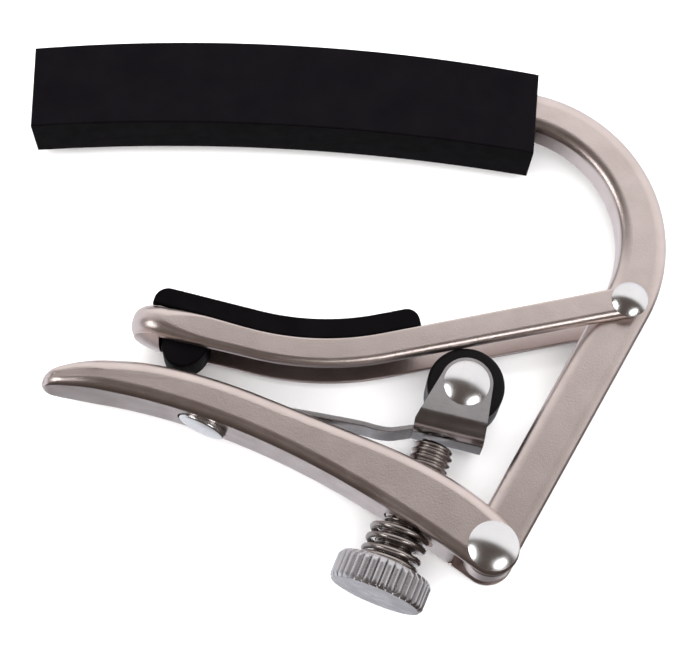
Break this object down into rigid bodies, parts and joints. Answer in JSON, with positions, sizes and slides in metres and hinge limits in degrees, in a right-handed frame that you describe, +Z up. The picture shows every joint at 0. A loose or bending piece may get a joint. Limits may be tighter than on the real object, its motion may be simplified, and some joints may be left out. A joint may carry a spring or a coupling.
{
  "type": "guitar capo",
  "caption": "Flip-lever guitar capo: rubber-sleeved bar, hinged cushioned arm and an over-centre lever with a sprung roller and a knurled adjusting knob.",
  "frame": {"origin": "Under the middle of the object's box, at its lowest point, as the capo lies on its side on a table.", "axes": "+Z is up and along every pivot. +X runs along the sleeve towards the bend of the bar. +Y points from the lever towards the sleeve."},
  "size_m": [0.0758, 0.0669, 0.0111],
  "materials": {
    "satin_nickel": "satin nickel plate over brass",
    "sleeve_rubber": "smooth black rubber",
    "cushion_rubber": "matt black rubber",
    "polished_rivets": "mirror polished",
    "spring_steel": "rolled spring steel",
    "roller_nylon": "black moulded nylon",
    "screw_steel": "bright drawn steel",
    "knob_nickel": "nickel plated, knurled"
  },
  "bodies": {
    "frame_bar": {"main_bar": "satin_nickel", "string_sleeve": "sleeve_rubber", "arm_pivot_rivet": "polished_rivets", "lever_pivot_rivet": "polished_rivets"},
    "arm": {"neck_arm": "satin_nickel", "arm_cushion": "cushion_rubber"},
    "lever": {"lever": "satin_nickel", "strap_rivet": "polished_rivets"},
    "strap": {"roller_strap": "spring_steel", "roller_axle": "polished_rivets"},
    "roller": {"roller": "roller_nylon"},
    "spring": {"knob_spring": "screw_steel"},
    "screw": {"adjusting_screw": "screw_steel", "thumb_knob": "knob_nickel"}
  },
  "joints": [
    {"name": "lever_hinge", "type": "hinge", "parent": "frame_bar", "child": "lever", "pos_m": [0.018, -0.02628, 0.00565], "axis": [0, 0, 1], "range_deg": [0, 175]},
    {"name": "arm_hinge", "type": "hinge", "parent": "frame_bar", "child": "arm", "pos_m": [0.03315, 0.00322, 0.00565], "axis": [0, 0, 1], "range_deg": [0, 17.6]},
    {"name": "screw_travel", "type": "slide", "parent": "lever", "child": "spring", "axis": [0.3373, 0.9414, 0], "range_m": [-0.0016, 0]},
    {"name": "screw_turn", "type": "hinge", "parent": "spring", "child": "screw", "pos_m": [0.00532, -0.03168, 0.00565], "axis": [0.3373, 0.9414, 0], "range_deg": [-720, 0]},
    {"name": "strap_flex", "type": "hinge", "parent": "lever", "child": "strap", "pos_m": [-0.0143, -0.01134, 0.00565], "axis": [0, 0, 1], "range_deg": [-3.5, 0]},
    {"name": "roller_spin", "type": "hinge", "parent": "strap", "child": "roller", "pos_m": [0.01465, -0.00768, 0.00565], "axis": [0, 0, 1], "continuous": true}
  ],
  "couplings": [
    {"joint": "arm_hinge", "follows": "lever_hinge", "ratio": 0.1},
    {"joint": "screw_turn", "follows": "screw_travel", "rad_per_m": 7854},
    {"joint": "strap_flex", "follows": "screw_travel", "rad_per_m": 37.7}
  ]
}
